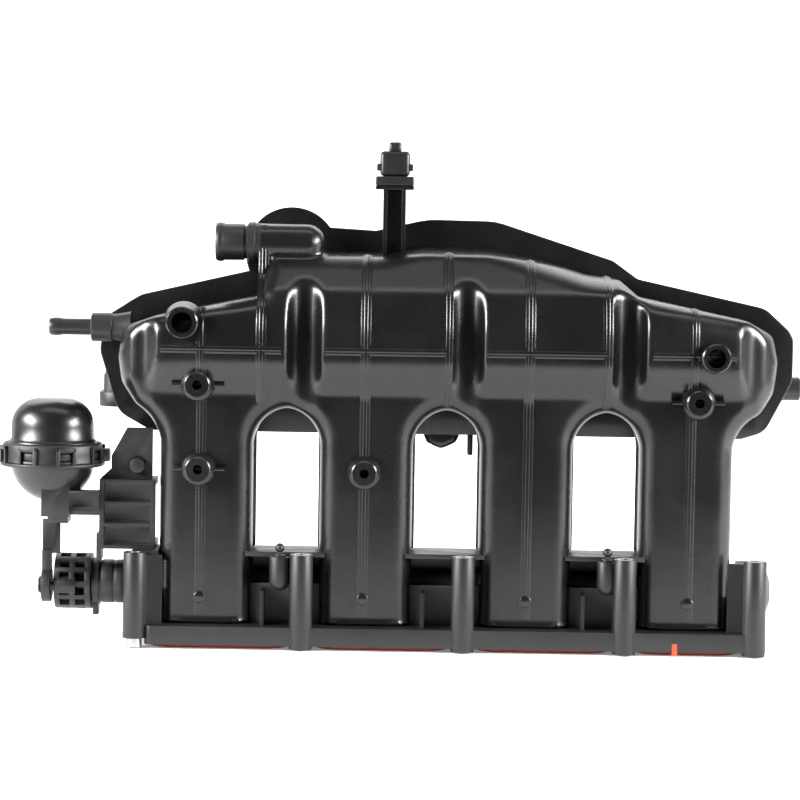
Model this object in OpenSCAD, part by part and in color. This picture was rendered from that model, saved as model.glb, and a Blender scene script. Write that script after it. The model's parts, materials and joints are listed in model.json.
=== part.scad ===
// Intake manifold for a four-cylinder engine: a welded plastic plenum and four runners
// on a head flange, with tumble flaps on one shaft and a vacuum actuator that turns them.
// X runs along the engine, Y points from the runners to the throttle, Z points away from
// the cylinder head. The origin is the middle of the corner bolts, on the sealing plane.

/* [Ports] */
// Distance between neighbouring ports, the engine's bore spacing
port_pitch = 88; // [87:0.5:89]
// Width of a port along the engine
port_w = 45; // [44:0.5:45]
// Depth of a port across the engine
port_d = 36; // [34:1:36]
// Corner radius of a port
port_r = 12; // [10:0.5:12]
// Wall of ducts, runners and shells
wall = 3; // [2.5:0.1:3]

/* [Head flange] */
// Thickness of the flange plate, from the sealing plane to its top
flange_t = 12; // [10:0.5:13]
// Height of the flap housing above the sealing plane
housing_h = 52; // [50:1:54]
// Distance of each bolt row from the middle of the ports
bolt_row_y = 28; // [27.5:0.5:28.5]
// Distance of the corner bolts from the middle
corner_x = 169.5; // [168.5:0.5:170]
// Radius of the bolt pillars
pillar_r = 6.3; // [6:0.1:6.5]
// Bore radius of the steel sleeves, for M6 bolts
sleeve_bore_r = 3.3; // [3.2:0.1:3.4]

/* [Flaps] */
// Height of the flap shaft above the sealing plane
shaft_z = 31.5; // [31:0.5:32]
// Distance of the flap shaft behind the middle of the ports
shaft_y = 4; // [3:0.5:4]
// Radius of the flap shaft
shaft_r = 4; // [3.5:0.1:4]
// Length of a flap blade below the shaft axis
flap_len = 25.5; // [23:0.5:25.5]
// Length of the crank that the pull rod turns
crank_r = 12; // [11.5:0.1:12]
// Angle of the crank below level when the flaps are open
crank_drop = 5; // [4:0.5:6]

/* [Actuator] */
// Distance of the actuator axis from the middle of the ports
act_x = -217.5; // [-218:0.5:-217]
// Radius of the actuator dome
dome_r = 23; // [22.5:0.1:23]
// Height of the top of the dome above the sealing plane
dome_top = 134; // [133:0.5:136]

/* [Hidden] */
$fn = 64;

plastic = "#1d1d1f";
plastic_dark = "#161617";
plastic_grey = "#3a3b3d";
steel = "#b9bcc0";
brass = "#b08d4a";
silicone = "#b4452c";
rubber = "#2a2a2b";

// Places along the engine
ports = [-1.5, -0.5, 0.5, 1.5] * port_pitch;
front_bolts = [-corner_x, -78.5, 10, 98.5, corner_x];
rear_bolts = [-corner_x, -port_pitch, port_pitch, corner_x];
short_bosses = [-90.5, 89];

// Head flange and flap housing
plate_lift = 1.8;
plate_y = [-32, 32];
plate_x = [-164, 176];
step_z = 5;
rear_pillar_h = 40;
sleeve_r = 4.2;
duct_w = port_w + 2 * wall;
duct_d = port_d + 2 * wall;
duct_r = port_r + wall;
duct_front = -duct_d / 2;
tunnel_r = 9.5;
bush_r = 6;
running = 0.08;
groove_w = 3;
groove_deep = 2.4;
gasket_proud = 0.7;
gasket_gap = 7;

// Weld plane of the shells
rim_y = 22;
rim_t = 3;
channel_r = 9;
rib_t = 3;
rib_h = 2.2;

// Actuator: the pin of the crank swings about the line of the rod
act_y = shaft_y - crank_r * 0.854;
pin = [shaft_y - crank_r * cos(crank_drop), shaft_z - crank_r * sin(crank_drop)];
pin_r = 2.5;
stem_r = 2.6;
bowl_r = 23;
ring_r = 27;
ring_z = [97, 110];
rod_x = [-222.6, -217.8];
plate_z = 94;

// Throttle flange, facing down at the back on the left
throttle = [-162, 64];
throttle_r = 28.5;
throttle_z = [127, 135];
throttle_bolt = 25.5;

// ---------------------------------------------------------------- helpers

// Turns corners [x, y, radius] into points, with an arc of that radius at each corner
function unit(v) = v / norm(v);
function corner_arc(a, b, c, r) =
    r == 0 ? [[b.x, b.y]] :
    let (
        u = unit([a.x - b.x, a.y - b.y]), w = unit([c.x - b.x, c.y - b.y]),
        half = acos(max(-1, min(1, u * w))) / 2,
        centre = [b.x, b.y] + unit(u + w) * (r / sin(half)),
        p = [b.x, b.y] + u * (r / tan(half)), q = [b.x, b.y] + w * (r / tan(half)),
        a0 = atan2(p.y - centre.y, p.x - centre.x),
        a1 = atan2(q.y - centre.y, q.x - centre.x),
        turn = a1 - a0 > 180 ? a1 - a0 - 360 : a1 - a0 < -180 ? a1 - a0 + 360 : a1 - a0,
        n = max(1, ceil(abs(turn) / 18))
    )
    [for (i = [0 : n]) centre + r * [cos(a0 + turn * i / n), sin(a0 + turn * i / n)]];
function rounded(c) =
    [for (i = [0 : len(c) - 1])
        each corner_arc(c[(i + len(c) - 1) % len(c)], c[i], c[(i + 1) % len(c)], c[i][2])];

// Moves every side of a clockwise outline inwards by d
function inset(c, d) =
    [for (i = [0 : len(c) - 1])
        let (
            a = c[(i + len(c) - 1) % len(c)], b = c[i], e = c[(i + 1) % len(c)],
            u = unit([b.x - a.x, b.y - a.y]), w = unit([e.x - b.x, e.y - b.y]),
            n1 = [u.y, -u.x], n2 = [w.y, -w.x],
            p = [b.x, b.y] + d * (n1 + n2) / (1 + n1 * n2),
            convex = u.x * w.y - u.y * w.x < 0
        )
        [p.x, p.y, b[2] == 0 ? 0 : max(0.5, convex ? b[2] - d : b[2] + d)]];

module rounded_rect(w, d, r) {
    square([w - 2 * r, d], center = true);
    square([w, d - 2 * r], center = true);
    for (x = [-1, 1], y = [-1, 1])
        translate([x * (w / 2 - r), y * (d / 2 - r)]) circle(r);
}
module rod_along_x(r, x, y, z) {
    translate([x[0], y, z]) rotate([0, 90, 0]) cylinder(r = r, h = x[1] - x[0]);
}
module rod_along_y(r, x, y, z) {
    translate([x, y[0], z]) rotate([-90, 0, 0]) cylinder(r = r, h = y[1] - y[0]);
}
module rod_along_z(r, x, y, z) {
    translate([x, y, z[0]]) cylinder(r = r, h = z[1] - z[0]);
}
module block(x, y, z) {
    translate([x[0], y[0], z[0]]) cube([x[1] - x[0], y[1] - y[0], z[1] - z[0]]);
}
// Stands an outline drawn in X and Z upright, from y[0] to y[1]
module upright(y) {
    translate([0, y[1], 0]) rotate([90, 0, 0]) linear_extrude(y[1] - y[0]) children();
}
// Sweeps an outline drawn in Y and Z along X
module along_x(x) {
    translate([x[0], 0, 0]) rotate([90, 0, 90]) linear_extrude(x[1] - x[0]) children();
}

// ---------------------------------------------------------------- head flange

module sleeve_holes(r) {
    for (x = front_bolts) rod_along_z(r, x, -bolt_row_y, [-1, housing_h + 1]);
    for (x = rear_bolts) rod_along_z(r, x, bolt_row_y, [-1, housing_h + 1]);
}
module pillars() {
    for (x = front_bolts)
        rod_along_z(pillar_r, x, -bolt_row_y, [x < -corner_x + 1 ? step_z : 0, housing_h]);
    for (x = rear_bolts)
        rod_along_z(pillar_r, x, bolt_row_y, [x < -corner_x + 1 ? step_z : 0, rear_pillar_h]);
}
module flange_plate() {
    translate([0, 0, plate_lift]) linear_extrude(flange_t - plate_lift)
        translate([(plate_x[0] + plate_x[1]) / 2, (plate_y[0] + plate_y[1]) / 2])
            rounded_rect(plate_x[1] - plate_x[0], plate_y[1] - plate_y[0], 4);
    // The left end is stepped up, clear of the head
    translate([0, 0, step_z]) linear_extrude(flange_t - step_z)
        translate([-165, 0]) rounded_rect(22, 2 * bolt_row_y, 3);
}
module gasket_ring(i, z) {
    a = front_bolts[i] + gasket_gap;
    b = front_bolts[i + 1] - gasket_gap;
    d = port_d + 2 * groove_w + 8;
    translate([(a + b) / 2, 0, z[0]]) linear_extrude(z[1] - z[0]) difference() {
        rounded_rect(b - a, d, 14);
        rounded_rect(b - a - 2 * groove_w, d - 2 * groove_w, 11);
    }
}
// Between two ducts: a back wall, a top web, a low wall and thin fins
module pocket(x) {
    block([x - 22, x + 22], [8, 11], [flange_t - 1, housing_h]);
    block([x - 22, x + 22], [-19, 11], [housing_h - 2.5, housing_h]);
    block([x - 24, x + 24], [-13, -10.5], [flange_t - 1, 34]);
    block([x - 24, x + 24], [-13, 0], [32, 34]);
    for (dx = [-13, 4.5]) block([x + dx, x + dx + 2], [-24, -12], [flange_t - 1, 31]);
}
// One half of a duct or runner, in front of the weld plane or behind it
module duct_half(front, z, w, d, r) {
    intersection() {
        translate([0, 0, z[0]]) linear_extrude(z[1] - z[0]) rounded_rect(w, d, r);
        block([-40, 40], front ? [-40, 0] : [0, 40], z);
    }
}
module duct_fronts(z) {
    for (x = ports) translate([x, 0, 0]) duct_half(true, z, duct_w, duct_d, duct_r);
}
module tunnel() {
    rod_along_x(tunnel_r, [-176, 172], shaft_y, shaft_z);
}
module flange_housing() {
    color(plastic) difference() {
        union() {
            flange_plate();
            pillars();
            for (x = ports) translate([x, 0, 0])
                duct_half(false, [flange_t - 1, housing_h], duct_w, duct_d, duct_r);
            tunnel();
            rod_along_x(16.8, [163, 174.5], shaft_y, shaft_z);
            rod_along_x(14, [-176, -160], shaft_y, shaft_z);
            for (x = [-port_pitch, 0, port_pitch]) pocket(x);
            for (x = short_bosses) rod_along_z(5.6, x, -24, [37, 50]);
            for (x = short_bosses) translate([x, -24, 37]) sphere(r = 5.6);
            for (x = short_bosses) block([x - 3, x + 3], [-20, -10], [36, 48]);
            // Webs that tie the pillars to the ducts
            for (x = [-161, 161]) {
                block([x - 6, x + 6], [-25, -22.5], [flange_t - 1, housing_h - 2]);
                block([x - 6, x + 6], [22, 24.5], [flange_t - 1, rear_pillar_h]);
                block([x - 1.5, x + 1.5], [-25, 24.5], [flange_t - 1, 30]);
            }
            block([-172, -157.5], [-24, 8], [housing_h - 6, housing_h]);
            for (x = [-78.5, 10, 98.5]) block([x - 1.5, x + 1.5], [-24, -11], [flange_t - 1, 50]);
            for (x = [-port_pitch, port_pitch])
                block([x - 1.5, x + 1.5], [10, 24], [flange_t - 1, 38]);
        }
        // Room for the duct fronts, which belong to the front shell
        difference() {
            duct_fronts([flange_t, housing_h + 1]);
            tunnel();
        }
        for (x = ports)
            translate([x, 0, -1]) linear_extrude(housing_h + 2)
                rounded_rect(port_w, port_d, port_r);
        sleeve_holes(sleeve_r);
        for (i = [0 : 3]) gasket_ring(i, [0, plate_lift + groove_deep]);
        rod_along_x(bush_r, [-177, 175], shaft_y, shaft_z);
        rod_along_x(11.8, [-177, -166], shaft_y, shaft_z);
        rod_along_x(14.2, [170, 175], shaft_y, shaft_z);
        for (x = short_bosses) rod_along_z(1.5, x, -24, [40, 51]);
        block([124.4, 127.6], [-33, -23.5], [1, 6.5]);
    }
}
module port_gasket(i) {
    color(silicone) union() {
        gasket_ring(i, [-gasket_proud, plate_lift + groove_deep]);
        if (i == 3) {
            block([124.5, 127.5], [-31.8, -24], [plate_lift - 1.8, plate_lift + 1]);
            block([124.5, 127.5], [-31.8, -29], [plate_lift - 1.8, 6.4]);
        }
    }
}
module bolt_sleeves() {
    color(steel) difference() {
        union() {
            for (x = front_bolts) rod_along_z(sleeve_r, x, -bolt_row_y, [0, housing_h]);
            for (x = rear_bolts) rod_along_z(sleeve_r, x, bolt_row_y, [0, rear_pillar_h]);
        }
        sleeve_holes(sleeve_bore_r);
    }
}

// ---------------------------------------------------------------- shells

rim_line = [
    [-166, 115, 4], [-184, 125, 14], [-195, 160, 14], [-191, 179, 10], [-172, 191, 14],
    [-104, 205.5, 2], [-98, 229, 5], [-40, 229, 30], [-12, 235.5, 40], [26, 235, 30],
    [92, 214, 8], [106, 204, 8], [178, 188.5, 14], [194, 174, 10], [194, 148, 14],
    [179, 119, 12], [166, 115, 4]
];
chest_line = [
    [-163, 131, 1], [-171, 133, 5], [-181, 143, 10], [-185, 158, 10], [-180, 174, 8],
    [-160, 181, 14], [-104, 192.5, 2], [-101, 218.5, 3], [-36, 218.5, 20],
    [-14, 224.3, 20], [22, 223.5, 20], [76, 206.5, 8], [94, 204, 4], [104, 195, 4],
    [164, 182.5, 10], [180, 174, 6], [185.5, 160, 8], [182, 143, 8], [172, 132, 4],
    [166, 131, 1]
];
rear_line = [
    [-160, 119, 4], [-176, 127, 10], [-188, 159, 12], [-184, 176, 8], [-170, 184.5, 10],
    [-102, 199, 4], [-96, 222, 5], [-40, 222, 30], [-12, 228.5, 30], [24, 228, 30],
    [91, 207, 6], [102, 198, 6], [174, 182, 10], [187.5, 170, 8], [187.5, 150, 10],
    [174, 125, 8], [160, 119, 4]
];
// Sections across the engine [y, z] and from above [x, y], cut off at y0
function chest_side(y0) = [
    [y0, 129.5, 0], [-19, 130.5, 2], [-20.5, 139, 3], [-32, 156, 8], [-32, 178, 14],
    [-24, 196, 10], [-4, 217, 12], [y0, 227 + (y0 - 20) * 0.4, 0]
];
function chest_plan(y0) = [
    [186.5 + (y0 - 20) * 0.08, y0, 0], [184, -8, 14], [165, -26, 14], [120, -32.5, 30],
    [-120, -32.5, 30], [-165, -26, 14], [-184, -8, 14], [-186 - (y0 - 20) * 0.08, y0, 0]
];
function rear_side(y0) = [
    [y0, 117 + (y0 - 24) * 0.08, 0], [y0, 231 - (y0 - 24) * 0.25, 0], [52, 224, 16],
    [72, 204, 20], [80, 176, 20], [78, 142, 16], [60, 120, 12]
];
function rear_plan(y0) = [
    [-189 + (y0 - 24) * 0.18, y0, 0], [-184, 52, 16], [-158, 76, 20], [-100, 82, 20],
    [100, 82, 20], [156, 76, 20], [183, 52, 16], [188.5 - (y0 - 24) * 0.18, y0, 0]
];
module front_solid(d, y0) {
    intersection() {
        upright([-60, 40]) polygon(rounded(inset(chest_line, d)));
        along_x([-200, 200]) polygon(rounded(inset(chest_side(y0), d)));
        translate([0, 0, 110]) linear_extrude(130) polygon(rounded(inset(chest_plan(y0), d)));
    }
}
module rear_solid(d, y0) {
    intersection() {
        upright([0, 100]) polygon(rounded(inset(rear_line, d)));
        along_x([-200, 200]) polygon(rounded(inset(rear_side(y0), d)));
        translate([0, 0, 100]) linear_extrude(140) polygon(rounded(inset(rear_plan(y0), d)));
    }
}
// Clear way for the tool above each front bolt
module tool_channels(r, z) {
    for (x = front_bolts) {
        rod_along_z(r, x, -bolt_row_y, z);
        block([x - r, x + r], [-60, -bolt_row_y], z);
    }
}
module screw_boss(x, z, y) {
    rod_along_y(7.2, x, y, z);
    rod_along_y(9.3, x, [y[0] + 4.5, y[1]], z);
    block([x - 14, x + 14], [y[0] + 4.5, y[1]], [z - 1, z + 1]);
}
module front_ribs() {
    intersection() {
        front_solid(-rib_h, 20);
        union() {
            for (x = [-135, -102, -45, -0.4, 44.4, 86.5, 133.5])
                block([x - rib_t / 2, x + rib_t / 2], [-60, 12], [128, 240]);
            block([-190, 190], [-60, 12], [162.5, 165.5]);
        }
    }
}
bosses = [[-136.4, 144, -31], [-135.6, 97.8, -31], [-44.9, 97, -31], [137, 138, -31]];
holders = [[-144.6, 178, 8.7, 5.65], [145.1, 163, 8, 5.25]];
vent = [[-107, -76], 4, 221.5];
purge = [[-184, -178], 8, 173];

module window_corners(x) {
    w = port_pitch - duct_w;
    difference() {
        block([x - w / 2 - 1, x + w / 2 + 1], [-20, -16.5], [116, 131]);
        for (dx = [-1, 1]) rod_along_y(14, x + dx * (w / 2 - 14), [-30, 0], 117);
        block([x - w / 2 + 14, x + w / 2 - 14], [-30, 0], [100, 131]);
        block([x - w / 2, x + w / 2], [-30, 0], [100, 117]);
    }
}
module rim_outline() {
    polygon(rounded(rim_line));
    translate([-87.7, 215.4]) circle(26);
}
module front_shell() {
    color(plastic) difference() {
        union() {
            difference() {
                union() {
                    front_solid(0, 20);
                    upright([rim_y - rim_t, rim_y]) rim_outline();
                    front_ribs();
                    duct_fronts([flange_t, 137]);
                }
                front_solid(wall, 32);
            }
            intersection() {
                front_solid(0, 20);
                tool_channels(channel_r + 2.5, [125, 215]);
            }
            // Rounded corners of the windows between the runners
            for (x = [-1, 0, 1] * port_pitch) window_corners(x);
            for (b = bosses) screw_boss(b[0], b[1], [b[2], b[1] > 120 ? -18.5 : duct_front + 2]);
            for (h = holders) rod_along_y(h[2], h[0], [-36, -28], h[1]);
            // Ribs and gate marks on the fronts of the runners
            for (x = [-134.5, -45, 44.4, 133.5]) {
                block([x - rib_t / 2, x + rib_t / 2], [duct_front - rib_h, duct_front + 2],
                      [flange_t + 1, 140]);
                rod_along_y(3.3, x, [duct_front - rib_h - 0.6, duct_front + 2], 27);
            }
            // Web at the left that the actuator bracket is screwed to
            upright([-7, -3]) polygon([[-156, 91], [-176, 91], [-176, 106], [-168, 117.5],
                                       [-156, 117.5]]);
            rod_along_y(4.5, -170, [-3, 6], 98);
            block([-170, -160], [-3, 2], [96, 100]);
            // Tube for the vent spigot, nipple seats and the post of the clip
            rod_along_x(10.6, [-108, -78], vent[1], vent[2]);
            translate([-78, vent[1], vent[2]]) sphere(r = 10.6);
            rod_along_x(8, [-186, -172], purge[1], purge[2]);
            block([-37, -24.4], [8, 13], [215, 254]);
            for (x = [-37, -26.9]) block([x, x + 2.5], [4, 17], [215, 254]);
            block([-41.3, -20], [4, 17], [252, 254]);
        }
        for (x = ports) translate([x, 0, flange_t - 1]) linear_extrude(128)
            rounded_rect(port_w, port_d, port_r);
        tunnel();
        // Notches in the rim for the backs of the runners
        for (x = ports) translate([x, 0, 0])
            duct_half(false, [110, 129.5], duct_w, duct_d, duct_r);
        tool_channels(channel_r, [134, 215]);
        for (b = bosses) rod_along_y(2.6, b[0], [-40, b[1] > 120 ? -22 : -20.5], b[1]);
        for (h = holders) rod_along_y(h[3], h[0], [-40, -31], h[1]);
        rod_along_x(6.6, [-109, -80], vent[1], vent[2]);
        rod_along_z(4, -84, vent[1] + 2, [198, vent[2]]);
        rod_along_x(4.2, [-188, -165], purge[1], purge[2]);
        rod_along_y(2.4, -170, [-8, 4], 98);
    }
}
module runner_back(i) {
    color(plastic) difference() {
        translate([ports[i], 0, 0]) union() {
            duct_half(false, [housing_h, 129.5], duct_w, duct_d, duct_r);
            // Weld flanges down both sides
            for (x = [-1, 1])
                block([x * (duct_w / 2 + 0.5) - 1.5, x * (duct_w / 2 + 0.5) + 1.5], [0, 3],
                      [housing_h, 128]);
        }
        translate([ports[i], 0, 50]) linear_extrude(82) rounded_rect(port_w, port_d, port_r);
    }
}
module throttle_hole(r, z) {
    rod_along_z(r, throttle[0], throttle[1], z);
}
module throttle_bolts() {
    for (x = [-1, 1], y = [-1, 1])
        translate([throttle[0] + x * throttle_bolt, throttle[1] + y * throttle_bolt, 0]) children();
}
module rear_shell() {
    color(plastic) difference() {
        union() {
            difference() {
                union() {
                    rear_solid(0, 23);
                    upright([rim_y, rim_y + rim_t]) rim_outline();
                    throttle_hole(throttle_r + 4, [130, 172]);
                    translate([throttle[0], throttle[1], 172])
                        cylinder(r1 = throttle_r + 4, r2 = 16, h = 22);
                }
                rear_solid(wall, 12);
                throttle_hole(throttle_r, [120, 171]);
                translate([throttle[0], throttle[1], 171])
                    cylinder(r1 = throttle_r, r2 = 13, h = 20);
                // Below the throttle flange
                block([-200, -127], [29, 100], [100, throttle_z[0]]);
            }
            intersection() {
                rear_solid(0, 23);
                block([-127.1, -124], [26, 90], [110, 136]);
            }
            difference() {
                union() {
                    translate([throttle[0], throttle[1], throttle_z[0]])
                        linear_extrude(throttle_z[1] - throttle_z[0]) rounded_rect(70, 70, 12);
                    throttle_bolts() rod_along_z(7, 0, 0, [throttle_z[0], 146]);
                }
                throttle_hole(throttle_r, [120, 180]);
            }
            // Hanging boss and clip under the floor
            upright([26, 40]) polygon(rounded([[-14, 122, 0], [10, 122, 0], [6, 110, 3],
                                               [-2.5, 106, 5], [-11, 110, 3]]));
            block([12.5, 15.5], [26, 40], [103, 122]);
            // Seat of the brake spigot and back ribs
            rod_along_x(9.5, [176, 189], 34, 143);
            intersection() {
                rear_solid(-rib_h, 23);
                union() {
                    for (x = [-110, -66, -22, 22, 66, 110]) block([x - 1.5, x + 1.5], [26, 90], [100, 232]);
                    for (z = [145, 178]) block([-190, 190], [26, 90], [z - 1.5, z + 1.5]);
                }
            }
        }
        difference() {
            rear_solid(wall, 12);
            block([-200, -124], [26, 100], [100, throttle_z[1]]);
        }
        throttle_hole(throttle_r, [110, 171]);
        translate([throttle[0], throttle[1], throttle_z[0] - 1]) difference() {
            cylinder(r = throttle_r + 3.1, h = 3.6);
            translate([0, 0, -1]) cylinder(r = throttle_r + 1.1, h = 6);
        }
        throttle_bolts() rod_along_z(4.2, 0, 0, [120, 139]);
        rod_along_x(4.6, [170, 190], 34, 143);
    }
}

// ---------------------------------------------------------------- flaps and their drive

module flap_shaft() {
    color(steel) difference() {
        rod_along_x(shaft_r, [-215, 169], shaft_y, shaft_z);
        // A flat for each flap
        for (x = ports)
            block([x - 21.9, x + 21.9], [shaft_y + 2.4, shaft_y + 5], [shaft_z - 5, shaft_z + 5]);
        for (x = ports, dx = [-12, 12])
            rod_along_y(1.6, x + dx, [shaft_y - 5, shaft_y + 5], shaft_z);
    }
}
module flap(i) {
    w = port_w - 2.4;
    color(plastic_dark) difference() {
        translate([ports[i], 0, 0]) union() {
            upright([shaft_y + 2.4, shaft_y + 4.9]) translate([0, shaft_z - flap_len]) union() {
                translate([-w / 2 + 9, 0]) square([w - 18, flap_len + 5]);
                translate([-w / 2, 9]) square([w, flap_len - 4]);
                for (x = [-1, 1]) translate([x * (w / 2 - 9), 9]) circle(9);
            }
            for (x = [-12, 0, 12])
                block([x - 1, x + 1], [shaft_y + 4.5, shaft_y + 6], [shaft_z - 20, shaft_z + 4]);
        }
        for (dx = [-12, 12]) rod_along_y(1.8, ports[i] + dx, [shaft_y, shaft_y + 9], shaft_z);
    }
}
module flap_screws() {
    color(steel) for (x = ports, dx = [-12, 12]) {
        rod_along_y(1.5, x + dx, [shaft_y - 3.8, shaft_y + 6.5], shaft_z);
        rod_along_y(2.8, x + dx, [shaft_y + 6, shaft_y + 7.8], shaft_z);
    }
}
module shaft_bushes() {
    color(plastic_grey) difference() {
        union() {
            for (x = [-1, 0, 1] * port_pitch) rod_along_x(bush_r, [x - 19, x + 19], shaft_y, shaft_z);
            rod_along_x(bush_r, [156, 168], shaft_y, shaft_z);
            rod_along_x(bush_r, [-165.5, -156], shaft_y, shaft_z);
        }
        rod_along_x(shaft_r + running, [-180, 180], shaft_y, shaft_z);
    }
}
module bearing_cartridge() {
    color(plastic_dark) difference() {
        union() {
            rod_along_x(11.8, [-194, -166], shaft_y, shaft_z);
            rod_along_x(12.15, [-190, -184], shaft_y, shaft_z);
            rod_along_x(12.15, [-182.5, -178], shaft_y, shaft_z);
            // Stop disc with a lug that hangs down
            rod_along_x(13, [-195.4, -191.5], shaft_y, shaft_z);
            block([-195.4, -192.4], [shaft_y - 4, shaft_y + 4], [13, 24]);
        }
        rod_along_x(shaft_r + running, [-196, -160], shaft_y, shaft_z);
        rod_along_x(7, [-196, -190], shaft_y, shaft_z);
    }
}
module cartridge_seal() {
    color(rubber) difference() {
        rod_along_x(6.9, [-194.8, -190.2], shaft_y, shaft_z);
        rod_along_x(shaft_r + running, [-196, -189], shaft_y, shaft_z);
    }
}
module crank_drum() {
    color(plastic_dark) difference() {
        union() {
            rod_along_x(9, [-216, -196], shaft_y, shaft_z);
            for (x = [-216, -207.5, -199]) rod_along_x(15.5, [x, x + 3], shaft_y, shaft_z);
            intersection() {
                rod_along_x(15.5, [-216, -196], shaft_y, shaft_z);
                for (a = [0 : 30 : 150])
                    translate([0, shaft_y, shaft_z]) rotate([a, 0, 0])
                        block([-216, -196], [-16, 16], [-1.4, 1.4]);
            }
            rod_along_x(5, [-216, -204], pin[0], pin[1]);
        }
        rod_along_x(shaft_r, [-215, -190], shaft_y, shaft_z);
        rod_along_x(pin_r, [-217, -207], pin[0], pin[1]);
    }
}
module crank_pin() {
    color(plastic_dark) union() {
        rod_along_x(pin_r, [-224, -207], pin[0], pin[1]);
        rod_along_x(4.7, [-224.6, -223], pin[0], pin[1]);
    }
}
module pull_rod() {
    color(plastic_dark) difference() {
        union() {
            rod_along_x(9.5, rod_x, act_y, pin[1]);
            block(rod_x, [act_y - 4, act_y + 4], [pin[1], 50]);
            block([rod_x[0], -212.9], [act_y - 1.6, act_y + 1.6], [48, 67]);
            rod_along_z(stem_r, act_x, act_y, [66, plate_z]);
        }
        // Slot that lets the pin swing across the line of the rod
        block([-224, -216], [act_y - 2.1, act_y + 2.1], [pin[1] - pin_r - 0.5, pin[1] + pin_r + 0.5]);
        for (s = [-1, 1]) rod_along_x(pin_r + 0.5, [-224, -216], act_y + 2.1 * s, pin[1]);
    }
}
module actuator_bracket() {
    y = [act_y - 10, act_y + 14];
    color(plastic_grey) difference() {
        union() {
            // Ribbed box on the housing
            block([-188, -162], [y[0] + 4, y[1] - 2], [housing_h, 90]);
            for (z = [housing_h, 64.4, 76.2, 88.4])
                block([-190.5, -160], [y[0], y[1]], [z, z + 2]);
            for (x = [-190.5, -162.5]) block([x, x + 2.5], [y[0], y[1]], [housing_h, 90.4]);
            // Plate screwed to the web of the shell
            upright([-11, -7]) polygon([[-162, 84], [-190, 84], [-190, 91], [-184.5, 96],
                                        [-184.5, 103], [-176, 118.5], [-162, 118.5]]);
            // The left wall reaches down beside the crank
            block([-192.4, -190], [y[0] + 4, y[1] - 4], [45, 60]);
            // Arm and guide of the rod, slotted for the flat of the rod
            difference() {
                union() {
                    block([-221.6, -206.3], [act_y - 17, act_y + 8], [70, 88]);
                    block([-219, -208], [act_y - 8, act_y + 8], [65.5, 72]);
                    block([-208, -190], [act_y - 14, act_y - 4], [73, 84]);
                    block([-208, -190], [act_y - 6, act_y + 6], [70, 77]);
                }
                translate([act_x, act_y, 100]) sphere(r = bowl_r);
                block([-205, -192], [act_y - 15, act_y - 12], [75.5, 81.5]);
            }
        }
        block([-226, -212.8], [act_y - 1.7, act_y + 1.7], [60, 77.2]);
        block([-185, -160], [y[0] + 7, y[1]], [housing_h + 4, 87]);
        for (z = [housing_h + 2, 66.4, 78.2])
            block([-188, -162.5], [y[0] - 1, y[0] + 5.5], [z + 1, z + 9]);
        rod_along_z(stem_r + 0.08, act_x, act_y, [60, 80]);
        rod_along_y(2.7, -170, [-12, -6], 98);
    }
}
module bracket_screw() {
    color(plastic_dark) union() {
        rod_along_y(2.4, -170, [-13, 3], 98);
        rod_along_y(4.3, -170, [-14.2, -11], 98);
    }
}
module actuator_bowl() {
    color(plastic_dark) translate([act_x, act_y, 0]) difference() {
        union() {
            intersection() {
                translate([0, 0, 100]) sphere(r = bowl_r);
                rod_along_z(40, 0, 0, [77.5, 100]);
            }
            rod_along_z(bowl_r + 1.6, 0, 0, [99, 107]);
        }
        translate([0, 0, 100]) sphere(r = bowl_r - 2);
        rod_along_z(bowl_r - 2, 0, 0, [100, 108]);
        rod_along_z(stem_r + 0.3, 0, 0, [70, 100]);
    }
}
module actuator_dome() {
    color(plastic) translate([act_x, act_y, 0]) difference() {
        union() {
            rod_along_z(bowl_r + 1.6, 0, 0, [108, 111]);
            rod_along_z(dome_r, 0, 0, [110, dome_top - 7]);
            translate([0, 0, dome_top - 7]) cylinder(r1 = dome_r, r2 = dome_r - 9, h = 7);
            // Vacuum nipple
            rod_along_y(2.6, 0, [dome_r - 4, dome_r + 14], 122);
            rod_along_y(3.2, 0, [dome_r + 9, dome_r + 12], 122);
        }
        rod_along_z(dome_r - 2, 0, 0, [107, dome_top - 8]);
        translate([0, 0, dome_top - 8.01]) cylinder(r1 = dome_r - 2, r2 = dome_r - 9, h = 5.5);
        rod_along_y(1.2, 0, [dome_r - 6, dome_r + 15], 122);
    }
}
module snap_ring() {
    color(plastic_dark) translate([act_x, act_y, 0]) difference() {
        union() {
            rod_along_z(ring_r, 0, 0, ring_z);
            rod_along_z(ring_r + 1.9, 0, 0, [ring_z[0], ring_z[0] + 2.5]);
            block([24, ring_r + 5], [-5, 5], [99, 107]);
        }
        rod_along_z(bowl_r + 1.7, 0, 0, [98.9, ring_z[1] + 1]);
        rod_along_z(bowl_r, 0, 0, [90, 100]);
        for (a = [15 : 60 : 345]) rotate(a)
            block([20, 32], [-6, 6], [101, 106]);
    }
}
module diaphragm() {
    color(rubber) translate([act_x, act_y, 0]) difference() {
        union() {
            rod_along_z(bowl_r + 1.5, 0, 0, [107, 108]);
            translate([0, 0, plate_z + 2]) cylinder(r1 = 10, r2 = bowl_r - 3, h = 12);
        }
        translate([0, 0, plate_z + 1.8]) cylinder(r1 = 8.6, r2 = bowl_r - 4, h = 12.3);
    }
}
module diaphragm_plate() {
    color(plastic_dark) translate([act_x, act_y, 0]) union() {
        rod_along_z(14, 0, 0, [plate_z, plate_z + 2]);
        rod_along_z(6, 0, 0, [plate_z + 1.5, plate_z + 6]);
    }
}
module return_spring() {
    color(steel) for (i = [0 : 5])
        translate([act_x, act_y, plate_z + 3.2 + i * 6.2]) rotate_extrude()
            translate([7.8, 0]) circle(0.9);
}

// ---------------------------------------------------------------- spigots, inserts, clips

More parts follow.
